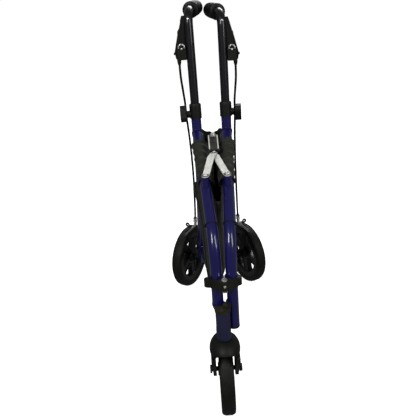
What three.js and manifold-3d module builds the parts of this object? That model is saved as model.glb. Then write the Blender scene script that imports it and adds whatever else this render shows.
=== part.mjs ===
// Three-wheeled folding walker with hand brakes, standing folded. Millimetres, +Z up, front towards -Y.
// Two mirrored side frames meet at a vertical hinge pin at the front, "right" on the -X side, "left" on +X.
// Each side frame is drawn flat in its own plane: local +Y runs back along the frame, and a lateral
// distance is measured outwards, so it becomes -X on the right frame and +X on the left one.
import * as THREE from "three";
import * as BufferGeometryUtils from "three/addons/utils/BufferGeometryUtils.js";
import Module from "manifold-3d";

const wasm = await Module();
wasm.setup();

const RIGHT = -1;
const LEFT = 1;
const GAP = 0.3;

// Wheels
const WHEEL_R = 95;
const TYRE_W = 30;
const RIM_R = 77;
const SPOKE_GAPS = 5;
const FRONT_WHEEL_TURN = 0;
const REAR_WHEEL_TURN = { [RIGHT]: 37, [LEFT]: -17.5 };
const AXLE_R = 5;

// Side frames: plan position of the front tube, outward splay when folded, and the tube sizes
const TUBE_X = 14.5;
const TUBE_Y = -37;
const SPLAY = THREE.MathUtils.degToRad(3.9);
const OPENING = THREE.MathUtils.degToRad(27);
const TUBE_R = 11.1;
const BORE_R = 9.8;
const FRONT_BEND_Z = 421;
const UPRIGHT_TOP = { back: 280, z: 616 };
const UPRIGHT_BEND = { back: 264, z: 465 };
const LEG_END = { back: 539, z: 84 };
const MID_TUBE_END = { back: 270, z: 559 };
const STRUT_R = 8;
const STRUT_FRONT_Z = 324;
const STRUT_REAR = { back: 488, z: 152 };

// Fold hinge
const PIN_Y = -54;
const PIN_R = 3;
const BRACKET_Z = [330, 350];
const EAR_REACH = { [RIGHT]: 18, [LEFT]: 13 };

// Caster
const STEM_X = -7;
const STEM_Y = -52;
const STEM_R = 14.3;
const STEM_Z = [220, 287];
const CAP_T = 3.9;
const CAP_TOP = STEM_Z[1] + GAP + CAP_T;
const FORK_W = 58;
const FORK_GAP = 20;

// Telescopic handles
const HANDLE_R = 9.5;
const LEAN = Math.atan2(UPRIGHT_TOP.back - UPRIGHT_BEND.back, UPRIGHT_TOP.z - UPRIGHT_BEND.z);
const HANDLE_FOOT_Z = 545;
const CLAMP_Z = 601;
const HANDLE_DROP = { [RIGHT]: 0, [LEFT]: 7.5 };
const GRIP_Z = 811;
const GRIP_TURN = THREE.MathUtils.degToRad(12);
const GRIP_R = 16.5;
const GRIP_L = 112;
const LEVER_X = 21;
const LEVER_PIVOT_Z = 728;

// Folding brace
const BRACE_BACK = 115;
const BRACE_Z = 510;
const BRACE_RISE = 22;
const LINK_W = 14;
const LINK_T = 3;

const PAINT = { color: 0x1a1c66, roughness: 0.3, metalness: 0.3 };
const BLACK_PAINT = { color: 0x111216, roughness: 0.3, metalness: 0.2 };
const BLACK_PLASTIC = { color: 0x1b1c1c, roughness: 0.55, metalness: 0 };
const RUBBER = { color: 0x101010, roughness: 0.9, metalness: 0 };
const ZINC = { color: 0xb9bcc0, roughness: 0.35, metalness: 0.9 };
const FABRIC = { color: 0x14151a, roughness: 0.95, metalness: 0 };

const v = (x, y, z) => new THREE.Vector3(x, y, z);

function piece(name, geometry, look) {
  const mesh = new THREE.Mesh(geometry, new THREE.MeshStandardMaterial(look));
  mesh.name = name;
  return mesh;
}

// ---- solid helpers -------------------------------------------------------------------------------------

function toSolid(geometry) {
  const bare = geometry.clone();
  bare.deleteAttribute("normal");
  bare.deleteAttribute("uv");
  const merged = BufferGeometryUtils.mergeVertices(bare, 1e-4);
  return new wasm.Manifold(new wasm.Mesh({
    numProp: 3,
    vertProperties: new Float32Array(merged.attributes.position.array),
    triVerts: new Uint32Array(merged.index.array),
  }));
}

function toGeometry(solid) {
  const mesh = solid.getMesh();
  const geometry = new THREE.BufferGeometry();
  geometry.setAttribute("position", new THREE.BufferAttribute(new Float32Array(mesh.vertProperties), 3));
  geometry.setIndex(new THREE.BufferAttribute(new Uint32Array(mesh.triVerts), 1));
  geometry.computeVertexNormals();
  return geometry;
}

function cut(geometry, ...tools) {
  return toGeometry(tools.reduce((solid, tool) => solid.subtract(toSolid(tool)), toSolid(geometry)));
}

function join(...geometries) {
  return toGeometry(geometries.map(toSolid).reduce((a, b) => a.add(b)));
}

function overlap(a, b) {
  return toGeometry(toSolid(a).intersect(toSolid(b)));
}

// Solid of revolution about +Z from [radius, z] corners; a ring's outline closes on itself.
function turned(profile, segments = 24) {
  const points = profile.map(([r, z]) => new THREE.Vector2(r, z));
  return new THREE.LatheGeometry(points, segments).rotateX(Math.PI / 2);
}

function ring(outer, inner, low, high, segments = 24) {
  return turned([[inner, low], [outer, low], [outer, high], [inner, high], [inner, low]], segments);
}

function rod(radius, low, high, segments = 16) {
  return turned([[0, low], [radius, low], [radius, high], [0, high]], segments);
}

// A turned shape laid along an axis through a point.
function along(geometry, axis, at) {
  const turn = new THREE.Quaternion().setFromUnitVectors(v(0, 0, 1), axis.clone().normalize());
  return geometry.applyQuaternion(turn).translate(at.x, at.y, at.z);
}

function slab(shape, low, high) {
  const settings = { depth: high - low, bevelEnabled: false, curveSegments: 8 };
  return new THREE.ExtrudeGeometry(shape, settings).translate(0, 0, low);
}

function block(width, depth, height, x, y, z) {
  return new THREE.BoxGeometry(width, depth, height).translate(x, y, z);
}

// Outline in plan around two circles, as a belt runs round two pulleys.
function beltShape(a, aRadius, b, bRadius) {
  const heading = Math.atan2(b.y - a.y, b.x - a.x);
  const lean = Math.acos((aRadius - bRadius) / Math.hypot(b.x - a.x, b.y - a.y));
  const shape = new THREE.Shape();
  shape.absarc(a.x, a.y, aRadius, heading + lean, heading - lean + 2 * Math.PI, false);
  shape.absarc(b.x, b.y, bRadius, heading - lean, heading + lean, false);
  shape.closePath();
  return shape;
}

// Corner points joined by straights, with an arc of the given radius at each inner corner.
function bentPath(corners, radius) {
  const path = [corners[0]];
  for (let i = 1; i < corners.length - 1; i += 1) {
    const corner = corners[i];
    const inward = corners[i - 1].clone().sub(corner).normalize();
    const outward = corners[i + 1].clone().sub(corner).normalize();
    const half = inward.angleTo(outward) / 2;
    const reach = radius / Math.tan(half);
    const inside = inward.clone().add(outward).normalize();
    const centre = corner.clone().addScaledVector(inside, radius / Math.sin(half));
    const start = corner.clone().addScaledVector(inward, reach).sub(centre);
    const end = corner.clone().addScaledVector(outward, reach).sub(centre);
    const sweep = start.angleTo(end);
    const steps = Math.max(2, Math.round(sweep / THREE.MathUtils.degToRad(11)));
    for (let k = 0; k <= steps; k += 1) {
      const angle = (sweep * k) / steps;
      const spoke = start.clone().multiplyScalar(Math.sin(sweep - angle));
      spoke.addScaledVector(end, Math.sin(angle)).divideScalar(Math.sin(sweep));
      path.push(spoke.add(centre));
    }
  }
  path.push(corners[corners.length - 1]);
  return path;
}

function circleOutline(radius, sides) {
  return Array.from({ length: sides }, (_, i) => {
    const angle = (2 * Math.PI * i) / sides;
    return [radius * Math.cos(angle), radius * Math.sin(angle)];
  });
}

function barOutline(width, height) {
  const w = width / 2;
  const h = height / 2;
  const bevel = Math.min(w, h) / 2;
  return [[w, -h + bevel], [w, h - bevel], [w - bevel, h], [-w + bevel, h],
    [-w, h - bevel], [-w, -h + bevel], [-w + bevel, -h], [w - bevel, -h]];
}

// Carries an outline along a path, keeping it square to the path without twisting, and caps both ends.
function swept(path, outline, side = v(1, 0, 0)) {
  const count = outline.length;
  const positions = [];
  const tangents = path.map((point, i) => {
    const before = path[Math.max(i - 1, 0)];
    const after = path[Math.min(i + 1, path.length - 1)];
    return after.clone().sub(before).normalize();
  });
  let across = side.clone().addScaledVector(tangents[0], -side.dot(tangents[0])).normalize();
  path.forEach((point, i) => {
    across = across.clone().addScaledVector(tangents[i], -across.dot(tangents[i])).normalize();
    const up = tangents[i].clone().cross(across);
    outline.forEach(([a, b]) => {
      const corner = point.clone().addScaledVector(across, a).addScaledVector(up, b);
      positions.push(corner.x, corner.y, corner.z);
    });
  });
  const faces = [];
  for (let i = 0; i < path.length - 1; i += 1) {
    for (let k = 0; k < count; k += 1) {
      const a = i * count + k;
      const b = i * count + ((k + 1) % count);
      faces.push(a, b, b + count, a, b + count, a + count);
    }
  }
  const top = (path.length - 1) * count;
  for (let k = 1; k < count - 1; k += 1) {
    faces.push(0, k + 1, k);
    faces.push(top, top + k, top + k + 1);
  }
  const geometry = new THREE.BufferGeometry();
  geometry.setAttribute("position", new THREE.Float32BufferAttribute(positions, 3));
  geometry.setIndex(faces);
  geometry.computeVertexNormals();
  return geometry;
}

function pipe(path, outer, sides = 16) {
  return swept(path, circleOutline(outer, sides));
}

// ---- wheels --------------------------------------------------------------------------------------------

function tyreGeometry() {
  const half = TYRE_W / 2;
  return turned([
    [RIM_R + GAP, -half + 4], [WHEEL_R - 9, -half], [WHEEL_R - 3, -half + 3], [WHEEL_R, -half + 9],
    [WHEEL_R, half - 9], [WHEEL_R - 3, half - 3], [WHEEL_R - 9, half], [RIM_R + GAP, half - 4],
    [RIM_R + GAP, -half + 4],
  ], 24);
}

function hubGeometry(turn) {
  const wheel = turned([
    [AXLE_R + GAP, -17], [14, -17], [17, -5], [RIM_R - 12, -4], [RIM_R - 7, -11], [RIM_R, -11],
    [RIM_R, 11], [RIM_R - 7, 11], [RIM_R - 12, 4], [17, 5], [14, 17], [AXLE_R + GAP, 17],
    [AXLE_R + GAP, -17],
  ], 24);
  const windows = [];
  for (let i = 0; i < SPOKE_GAPS; i += 1) {
    const shape = new THREE.Shape([
      new THREE.Vector2(26, -5), new THREE.Vector2(57, -22), new THREE.Vector2(61.5, 0),
      new THREE.Vector2(57, 22), new THREE.Vector2(26, 5),
    ]);
    const angle = THREE.MathUtils.degToRad(turn + (360 * i) / SPOKE_GAPS);
    windows.push(slab(shape, -20, 20).rotateZ(angle));
  }
  return cut(wheel, ...windows);
}

// The spokes' gaps start at the given turn, in degrees about the axle.
function wheel(prefix, at, axis, turn) {
  return [
    piece(`${prefix}_tyre`, along(tyreGeometry(), axis, at), RUBBER),
    piece(`${prefix}_hub`, along(hubGeometry(turn), axis, at), BLACK_PLASTIC),
  ];
}

// ---- caster --------------------------------------------------------------------------------------------

// Helmet-shaped crown over the wheel, with two legs that run back and down to the axle.
function forkGeometry() {
  const leg = new THREE.Shape();
  leg.moveTo(-14, WHEEL_R - 5);
  leg.absarc(0, WHEEL_R, 15, Math.PI + 0.4, 2 * Math.PI + 0.5, false);
  leg.lineTo(6, 150);
  leg.lineTo(-12, 172);
  leg.lineTo(-34, 186);
  leg.lineTo(-80, 186);
  leg.lineTo(-80, 172);
  leg.lineTo(-58, 160);
  leg.closePath();
  const half = FORK_W / 2;
  const legs = slab(leg, -half, half).rotateZ(Math.PI / 2).rotateY(Math.PI / 2);
  const front = new THREE.Shape();
  front.moveTo(-half + 2, 70);
  front.lineTo(half - 2, 70);
  front.lineTo(half, 200);
  front.lineTo(-half, 200);
  front.closePath();
  const silhouette = slab(front, -60, 130).rotateX(Math.PI / 2);
  const dome = new THREE.SphereGeometry(1, 32, 20).rotateX(Math.PI / 2).scale(31, 41, 27);
  const crown = cut(dome.translate(0, -48, 192), block(80, 100, 40, 0, -48, 150));
  const channel = new THREE.Shape();
  channel.moveTo(-FORK_GAP, 60);
  channel.lineTo(FORK_GAP, 60);
  channel.lineTo(FORK_GAP, 188);
  channel.quadraticCurveTo(FORK_GAP, 200, 0, 200);
  channel.quadraticCurveTo(-FORK_GAP, 200, -FORK_GAP, 188);
  channel.closePath();
  const slot = slab(channel, -60, 130).rotateX(Math.PI / 2);
  const axleHole = along(rod(AXLE_R + GAP, -40, 40), v(1, 0, 0), v(0, 0, WHEEL_R));
  const boltHole = rod(6 + GAP, 195, 235).translate(0, STEM_Y, 0);
  const body = cut(join(overlap(legs, silhouette), crown), slot, axleHole, boltHole);
  return body.translate(STEM_X, 0, 0);
}

function caster() {
  const kingpin = turned([[0, 203], [6, 203], [6, 274], [9, 274], [9, 281], [0, 281]], 20);
  const axle = turned([[0, -34], [9, -34], [9, -29.5], [AXLE_R, -29.5], [AXLE_R, 33], [0, 33]], 16);
  const nut = cut(rod(8.5, 29.4, 36, 6), rod(AXLE_R + GAP, 20, 40, 16));
  return [
    piece("caster_fork", forkGeometry(), BLACK_PLASTIC),
    piece("caster_kingpin", kingpin.translate(STEM_X, STEM_Y, 0), ZINC),
    piece("front_axle", along(axle, v(1, 0, 0), v(STEM_X, 0, WHEEL_R)), ZINC),
    piece("front_axle_nut", along(nut, v(1, 0, 0), v(STEM_X, 0, WHEEL_R)), ZINC),
    ...wheel("front", v(STEM_X, 0, WHEEL_R), v(1, 0, 0), FRONT_WHEEL_TURN),
  ];
}

// Swivel housing of the caster, closed by a cap that carries the right frame's foot and a short hinge pin.
function stem() {
  const [low, high] = STEM_Z;
  const tube = ring(STEM_R, 12.5, low, high, 24).translate(STEM_X, STEM_Y, 0);
  const bearing = ring(12.2, 6 + GAP, low + 1, low + 9, 20).translate(STEM_X, STEM_Y, 0);
  const outline = beltShape({ x: -TUBE_X, y: TUBE_Y }, 12, { x: STEM_X, y: STEM_Y }, 15.6);
  const cap = cut(
    join(
      slab(outline, high + GAP, CAP_TOP),
      ring(15.6, STEM_R + GAP, high - 4, high + 1, 24).translate(STEM_X, STEM_Y, 0),
      rod(PIN_R, CAP_TOP - 1, CAP_TOP + 7).translate(0, PIN_Y, 0),
    ),
    rod(TUBE_R + GAP, 270, 310, 24).translate(TUBE_X, TUBE_Y, 0),
  );
  return [
    piece("stem_tube", tube, PAINT),
    piece("stem_bearing", bearing, ZINC),
    piece("stem_collar", cap, BLACK_PLASTIC),
  ];
}

// ---- fold hinge ----------------------------------------------------------------------------------------

// A clamp round a frame's front tube that reaches to the hinge pin. It keeps to its own side of the
// walker except for its knuckles, which are given as height bands, as are the slots for the other half's.
function hingeClamp(side, radius, clampRadius, [low, high], knuckles, slots) {
  const centre = { x: side * TUBE_X, y: TUBE_Y };
  const arm = slab(beltShape(centre, clampRadius, { x: 0, y: PIN_Y }, radius), low, high);
  const otherSide = block(60, 120, 60, -side * (30 - GAP), TUBE_Y, low + 10);
  const knuckle = ([from, to]) => rod(radius, from, to, 20).translate(0, PIN_Y, 0);
  const slot = ([from, to]) => rod(radius + 0.8, from, to, 20).translate(0, PIN_Y, 0);
  const clamp = cut(
    join(cut(arm, otherSide), ...knuckles.map(knuckle)),
    rod(TUBE_R + GAP, low - 5, high + 5, 24).translate(centre.x, centre.y, 0),
    ...slots.map(slot),
  );
  return clamp;
}

// The bolted ear that closes a hinge clamp on the outside of its tube.
function clampEar(side, [low, high]) {
  const tube = { x: side * TUBE_X, y: TUBE_Y };
  const end = { x: side * (TUBE_X + EAR_REACH[side]), y: TUBE_Y - 2 };
  return cut(
    slab(beltShape(tube, 12.5, end, 6), low, high),
    rod(TUBE_R + GAP, low - 5, high + 5, 24).translate(tube.x, tube.y, 0),
    block(80, 120, 60, -side * 40 + side * TUBE_X, TUBE_Y, low + 10),
  );
}

function pinHole(low, high) {
  return rod(PIN_R + GAP, low, high).translate(0, PIN_Y, 0);
}

function foldHinge() {
  const upperPin = turned([[0, 326], [5.5, 326], [5.5, 329.6], [PIN_R, 329.6], [PIN_R, 350.4],
    [5.5, 350.4], [5.5, 353], [0, 353]], 16);
  const eyeZ = [CAP_TOP + GAP, CAP_TOP + 4.5];
  const eyeReach = block(40, 60, 40, -10, PIN_Y, CAP_TOP);
  const lowerEye = overlap(hingeClamp(LEFT, 6, 12.5, eyeZ, [eyeZ], []), eyeReach);
  const [low, high] = BRACKET_Z;
  const rightHalf = join(
    hingeClamp(RIGHT, 7, 13.9, BRACKET_Z, [[low, 336.4], [343.6, high]], [[336.4, 343.6]]),
    clampEar(RIGHT, [low + 2, high - 2]),
  );
  const leftHalf = join(
    hingeClamp(LEFT, 7, 13.9, BRACKET_Z, [[336.8, 343.2]], [[low - 1, 336.8], [343.2, high + 1]]),
    clampEar(LEFT, [low + 2, high - 2]),
  );
  return [
    piece("right_hinge_half", cut(rightHalf, pinHole(320, 360)), BLACK_PLASTIC),
    piece("left_hinge_half", cut(leftHalf, pinHole(320, 360)), BLACK_PLASTIC),
    piece("hinge_pin", upperPin.translate(0, PIN_Y, 0), ZINC),
    piece("left_lower_knuckle", cut(lowerEye, pinHole(280, 310)), BLACK_PLASTIC),
  ];
}

// ---- side frame ----------------------------------------------------------------------------------------

function uprightPath() {
  return bentPath([
    v(0, UPRIGHT_TOP.back, UPRIGHT_TOP.z),
    v(0, UPRIGHT_BEND.back, UPRIGHT_BEND.z),
    v(0, LEG_END.back, LEG_END.z),
  ], 80);
}

function sideFrame(side, name) {
  const footZ = side === RIGHT ? CAP_TOP + GAP : 239;
  const middle = v(0, MID_TUBE_END.back, MID_TUBE_END.z);
  const frontPath = bentPath([v(0, 0, footZ), v(0, 0, FRONT_BEND_Z), middle], 75);
  const bore = along(rod(BORE_R, 0, 125, 16), topDown(), uprightPoint(UPRIGHT_TOP.z + 1));
  const upright = cut(pipe(uprightPath(), TUBE_R), bore);
  const mainTube = cut(pipe(frontPath, TUBE_R), pipe(uprightPath(), TUBE_R + GAP));
  const strut = cut(
    pipe([v(0, 4, STRUT_FRONT_Z), v(0, STRUT_REAR.back, STRUT_REAR.z)], STRUT_R, 12),
    pipe(frontPath, TUBE_R + GAP),
    pipe(uprightPath(), TUBE_R + GAP),
  );
  const pieces = [
    piece(`${name}_main_tube`, mainTube, PAINT),
    piece(`${name}_upright_leg`, upright, PAINT),
    piece(`${name}_lower_strut`, strut, PAINT),
  ];
  if (side === LEFT) {
    const cap = turned([[0, 234], [11.5, 234], [11.5, footZ - GAP], [0, footZ - GAP]], 20);
    pieces.push(piece("left_tube_cap", cap, BLACK_PLASTIC));
  }
  return pieces;
}

// A point on the upright's straight top length at a given height, and its downward direction.
function uprightPoint(z, lateral = 0) {
  return v(lateral, UPRIGHT_BEND.back + (z - UPRIGHT_BEND.z) * Math.tan(LEAN), z);
}

function topDown() {
  return v(0, -Math.sin(LEAN), -Math.cos(LEAN));
}

// A point on the straight leg below the bend.
function legPoint(z, lateral = 0) {
  const share = (UPRIGHT_BEND.z - z) / (UPRIGHT_BEND.z - LEG_END.z);
  return v(lateral, UPRIGHT_BEND.back + share * (LEG_END.back - UPRIGHT_BEND.back), z);
}

function legDirection() {
  return legPoint(LEG_END.z).sub(legPoint(UPRIGHT_BEND.z)).normalize();
}

// ---- handle clamp --------------------------------------------------------------------------------------

function clampCollar(side) {
  const topOfTube = UPRIGHT_TOP.z + GAP;
  const socket = ring(13.2, TUBE_R + GAP, 0, 25, 24);
  const lip = turned([[HANDLE_R + GAP, 24.9], [13.2, 24.9], [13.2, 29], [12, 32], [HANDLE_R + GAP, 32],
    [HANDLE_R + GAP, 24.9]], 24);
  const up = topDown().negate();
  const start = uprightPoint(topOfTube - 25);
  const boss = along(rod(8, 10, 19, 16), v(side, 0, 0), uprightPoint(CLAMP_Z));
  const bossCore = along(rod(TUBE_R + GAP, -5, 25, 24), up, start);
  const throat = along(rod(HANDLE_R + GAP, -5, 40, 24), up, start);
  const studHole = along(rod(3.3, 9.9, 30, 12), v(side, 0, 0), uprightPoint(CLAMP_Z));
  const sleeve = along(join(socket, lip), up, start);
  return cut(join(sleeve, cut(boss, bossCore, throat)), studHole);
}

function knobGeometry(side) {
  const outline = [];
  for (let i = 0; i < 30; i += 1) {
    const angle = (2 * Math.PI * i) / 30;
    const radius = 17 + 3.2 * Math.cos(3 * angle);
    outline.push(new THREE.Vector2(radius * Math.cos(angle), radius * Math.sin(angle)));
  }
  const head = slab(new THREE.Shape(outline), 21, 34);
  const stud = rod(3, 11.8, 21.5, 12);
  return along(join(head, stud), v(side, 0, 0), uprightPoint(CLAMP_Z));
}

// ---- handle --------------------------------------------------------------------------------------------

function gripDirection(side) {
  return v(-side * Math.sin(GRIP_TURN), Math.cos(GRIP_TURN), 0.04).normalize();
}

function handleCorner() {
  return uprightPoint(GRIP_Z);
}

function handlePieces(side, name) {
  const corner = handleCorner();
  const tip = corner.clone().addScaledVector(gripDirection(side), 148);
  const tubePath = bentPath([uprightPoint(HANDLE_FOOT_Z), corner, tip], 32);
  const gripStart = corner.clone().addScaledVector(gripDirection(side), 40);
  const grip = turned([
    [HANDLE_R + GAP, 0], [GRIP_R - 1, 0], [GRIP_R + 1, 5], [GRIP_R - 1.5, 16], [GRIP_R, 45],
    [GRIP_R, 75], [GRIP_R - 1.5, 100], [GRIP_R - 4, GRIP_L], [0, GRIP_L], [0, 108.5],
    [HANDLE_R + GAP, 108.5], [HANDLE_R + GAP, 0],
  ], 20);
  return [
    piece(`${name}_handle_tube`, pipe(tubePath, HANDLE_R), BLACK_PAINT),
    piece(`${name}_grip`, along(grip, gripDirection(side), gripStart), RUBBER),
    piece(`${name}_brake_housing`, brakeHousing(side, tubePath), BLACK_PLASTIC),
    piece(`${name}_brake_lever`, brakeLever(side), BLACK_PLASTIC),
  ];
}

// Flared brake body behind the handle tube, widest at the bottom, with a square box in front of its
// foot where the cable leaves. It is slotted from behind for the lever.
function brakeHousing(side, tubePath) {
  const flare = new THREE.Shape([
    [2, 717], [27, 714], [32, 718], [34, 730], [25, 765], [16, 796], [13.5, 803], [2, 803],
  ].map(([across, z]) => new THREE.Vector2(side * across, z)));
  const shell = slab(flare, -20, -2).rotateX(Math.PI / 2);
  const box = block(19, 14, 27, side * 19.5, -1, 729);
  const body = join(shell, box).translate(0, leverFoot(), 0);
  const leverSlot = block(8, 30, 100, side * LEVER_X, leverFoot() + 20, 755);
  const pivotHole = along(rod(2.8, 12, 45, 12), v(side, 0, 0), v(0, leverFoot() + 12, LEVER_PIVOT_Z));
  return cut(body, pipe(tubePath, HANDLE_R + GAP), leverSlot, pivotHole);
}

// How far back along the frame the handle tube stands beside the lever's pivot.
function leverFoot() {
  return uprightPoint(738).y;
}

function brakeLever(side) {
  const back = leverFoot();
  const route = new THREE.CatmullRomCurve3([
    v(side * LEVER_X, back + 13, 721), v(side * LEVER_X, back + 13, 738), v(side * LEVER_X, back + 24, 757),
    v(side * 20, back + 47, 769), v(side * 6, back + 85, 773), v(-side * 5, back + 135, 775),
  ]);
  const bar = swept(route.getPoints(14), barOutline(6.4, 11), v(side, 0, 0));
  const pivot = along(rod(2.5, 14, 36, 12), v(side, 0, 0), v(0, back + 12, LEVER_PIVOT_Z));
  return join(bar, pivot);
}

// ---- rear wheel and its brake --------------------------------------------------------------------------

// Outward direction of a rear axle in the frame's own plane: square to the travel when the walker is open.
function rearAxis(side) {
  const toe = OPENING + SPLAY;
  return v(side * Math.cos(toe), Math.sin(toe), 0);
}

function rearWheelPieces(side, name) {
  const axis = rearAxis(side);
  const root = legPoint(WHEEL_R);
  const centre = root.clone().addScaledVector(axis, 41.6);
  const axle = turned([[0, 14], [AXLE_R, 14], [AXLE_R, 60], [8, 60], [8, 64], [0, 64]], 16);
  const boss = along(rod(11, 4, 20, 20), axis, root);
  const plateOutline = [[-12, 83], [12, 83], [34, 150], [42, 200], [36, 208], [26, 206], [14, 150]];
  const plate = besideWheel(side, plateOutline, 19, 23);
  const bracket = cut(
    join(boss, plate),
    along(rod(TUBE_R + GAP, -60, 30, 20), legDirection(), root),
    along(rod(AXLE_R + GAP, 0, 30), axis, root),
    besideWheel(side, circleOutline(3.1, 16).map(([a, z]) => [a + 34, z + 196]), 10, 30),
  );
  return [
    piece(`${name}_wheel_bracket`, bracket, BLACK_PAINT),
    piece(`${name}_rear_axle`, along(axle, axis, root), ZINC),
    ...wheel(`${name}_rear`, centre, axis, REAR_WHEEL_TURN[side]),
    piece(`${name}_brake_arm`, brakeArm(side), BLACK_PLASTIC),
    piece(`${name}_cable_adjuster`, cableAdjuster(side), ZINC),
    piece(`${name}_brake_cable`, brakeCable(side), BLACK_PLASTIC),
  ];
}

// Lays a flat outline of [forward, height] corners square to a rear axle, between two distances out
// from the leg's centre line.
function besideWheel(side, outline, from, to) {
  const axis = rearAxis(side);
  const forward = v(side * axis.y, -Math.abs(axis.x), 0);
  const upward = v(0, 0, 1);
  const basis = new THREE.Matrix4().makeBasis(forward, upward, forward.clone().cross(upward));
  const shape = new THREE.Shape(outline.map(([ahead, z]) => new THREE.Vector2(ahead, z)));
  const [low, high] = side === RIGHT ? [from, to] : [-to, -from];
  const root = legPoint(WHEEL_R);
  return slab(shape, low, high).applyMatrix4(basis).translate(root.x, root.y, 0);
}

// Pivots on the wheel bracket; its pad ends in a rolled edge over the tyre, and the cable pulls its tail up.
function brakeArm(side) {
  const lever = besideWheel(side, [[-12, 194.5], [12, 194.5], [24, 190], [44, 190], [66, 194], [66, 199],
    [44, 203], [24, 201.5], [-12, 201.5]], 13, 18.6);
  const pad = besideWheel(side, [[-12, 194.5], [12, 194.5], [12, 199], [-12, 199]], 18, 34);
  const rolled = besideWheel(side, circleOutline(5, 16).map(([a, z]) => [a, z + 199.5]), 28, 36);
  const pivot = besideWheel(side, circleOutline(2.8, 16).map(([a, z]) => [a + 34, z + 196]), 18, 24);
  return join(lever, pad, rolled, pivot);
}

function brakeArmTail(side) {
  const axis = rearAxis(side);
  const forward = v(side * axis.y, -Math.abs(axis.x), 0);
  const tail = legPoint(WHEEL_R).addScaledVector(forward, 60).addScaledVector(axis, 16);
  return tail.setZ(204);
}

function adjusterTop(side) {
  return legPoint(270, side * 17);
}

function cableAdjuster(side) {
  const top = adjusterTop(side);
  const run = brakeArmTail(side).sub(top);
  const length = run.length();
  const barrel = turned([[0, 0], [4.2, 0], [4.2, 10], [3, 11], [3, 20], [4, 20], [4, 24], [1.3, 25],
    [1.3, length], [0, length]], 12);
  return along(barrel, run, top);
}

function brakeCable(side) {
  const drop = HANDLE_DROP[side];
  const route = new THREE.CatmullRomCurve3([
    v(side * 26, 290, 711 - drop), v(side * 25.5, 295, 680 - drop), v(side * 23, 301, 650 - drop / 2),
    v(side * 20.5, 305, 620), v(side * 20, 304, 590), v(side * 18, 293, 556), v(side * 16.5, 280, 505),
    v(side * 16, 284, 450), v(side * 16, 318, 390), v(side * 16, 361, 330),
    adjusterTop(side).add(v(0, -1.5, 2.6)),
  ]);
  return pipe(route.getSpacedPoints(36), 2.5, 8);
}

// ---- folding brace -------------------------------------------------------------------------------------

// Where a side frame's brace pivot stands when folded, and where the two links meet.
function bracePivot(side) {
  const x = TUBE_X + BRACE_BACK * Math.sin(SPLAY);
  return v(side * x, TUBE_Y + BRACE_BACK * Math.cos(SPLAY), BRACE_Z);
}

const braceArm = bracePivot(LEFT).sub(v(0, PIN_Y, BRACE_Z));
const LINK_L = braceArm.x * Math.cos(OPENING) + braceArm.y * Math.sin(OPENING);
const BRACE_CENTRE_Y = bracePivot(LEFT).y + Math.sqrt(LINK_L ** 2 - bracePivot(LEFT).x ** 2);

function braceLink(side, rise, flatEnd) {
  const strip = new THREE.Shape([
    new THREE.Vector2(-9, 0), new THREE.Vector2(10, 0), new THREE.Vector2(LINK_L - flatEnd, rise),
    new THREE.Vector2(LINK_L + 9, rise), new THREE.Vector2(LINK_L + 9, rise + LINK_T),
    new THREE.Vector2(LINK_L - flatEnd - 0.5, rise + LINK_T), new THREE.Vector2(9.5, LINK_T),
    new THREE.Vector2(-9, LINK_T),
  ]);
  const bent = slab(strip, -LINK_W, LINK_W).rotateX(Math.PI / 2).rotateZ(Math.PI / 2);
  const plan = slab(beltShape({ x: 0, y: 0 }, LINK_W / 2, { x: 0, y: LINK_L }, LINK_W / 2 - 0.01), -5, 40);
  const holes = [rod(3.3, -5, 6, 12), rod(2.9, rise - 5, rise + 6, 12).translate(0, LINK_L, 0)];
  const link = cut(overlap(bent, plan), ...holes);
  const pivot = bracePivot(side);
  const inward = Math.asin(pivot.x / LINK_L);
  return link.rotateZ(inward).translate(pivot.x, pivot.y, pivot.z);
}

function rivet(low, high) {
  const head = high + 2.2;
  const shaft = turned([[0, low], [2.6, low], [2.6, high], [5.5, high], [4, head], [0, head]], 16);
  return shaft.translate(0, BRACE_CENTRE_Y, 0);
}

function lockChannel() {
  const web = block(21, 50, 1.6, 0, 25, 5);
  const flange = (x) => block(1.6, 50, 6, x, 25, 2.4);
  const crossPin = along(rod(1.5, -10, 10, 10), v(1, 0, 0), v(0, 4, 1.4));
  const channel = join(web, flange(-9.7), flange(9.7), crossPin);
  return channel.rotateX(0.37).translate(0, BRACE_CENTRE_Y - 12, 541);
}

function lockKnob() {
  const knob = turned([[0, 0], [4, 0], [6, 3], [6, 6], [4, 9], [0, 9.6]], 16);
  return knob.translate(0, 44, 6.1).rotateX(0.37).translate(0, BRACE_CENTRE_Y - 12, 541);
}

function foldingBrace() {
  const high = BRACE_Z + BRACE_RISE;
  const leftLink = join(
    braceLink(LEFT, BRACE_RISE - LINK_T - 0.6, 12),
    rod(4.5, high - 6.5, high - 0.6, 16).translate(0, BRACE_CENTRE_Y, 0),
  );
  return [
    piece("right_brace_link", braceLink(RIGHT, BRACE_RISE, 28), ZINC),
    piece("left_brace_link", leftLink, ZINC),
    piece("brace_rivet", rivet(high + 0.2, high + LINK_T + GAP), ZINC),
    piece("lock_channel", lockChannel(), ZINC),
    piece("lock_knob", lockKnob(), ZINC),
  ];
}

function braceMount(side, name) {
  const post = cut(
    rod(7.5, BRACE_Z - 24, BRACE_Z - GAP, 20).translate(0, BRACE_BACK, 0),
    pipe([v(0, 0, FRONT_BEND_Z), v(0, MID_TUBE_END.back, MID_TUBE_END.z)], TUBE_R + GAP),
    rod(3.2, BRACE_Z - 14, BRACE_Z + 1, 12).translate(0, BRACE_BACK, 0),
  );
  const top = BRACE_Z + LINK_T + GAP;
  const screw = turned([[0, BRACE_Z - 12], [2.9, BRACE_Z - 12], [2.9, top], [6.5, top], [5, top + 3.5],
    [0, top + 3.5]], 16);
  return [
    piece(`${name}_brace_post`, post, PAINT),
    piece(`${name}_brace_screw`, screw.translate(0, BRACE_BACK, 0), ZINC),
  ];
}

// ---- bag -----------------------------------------------------------------------------------------------

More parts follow.
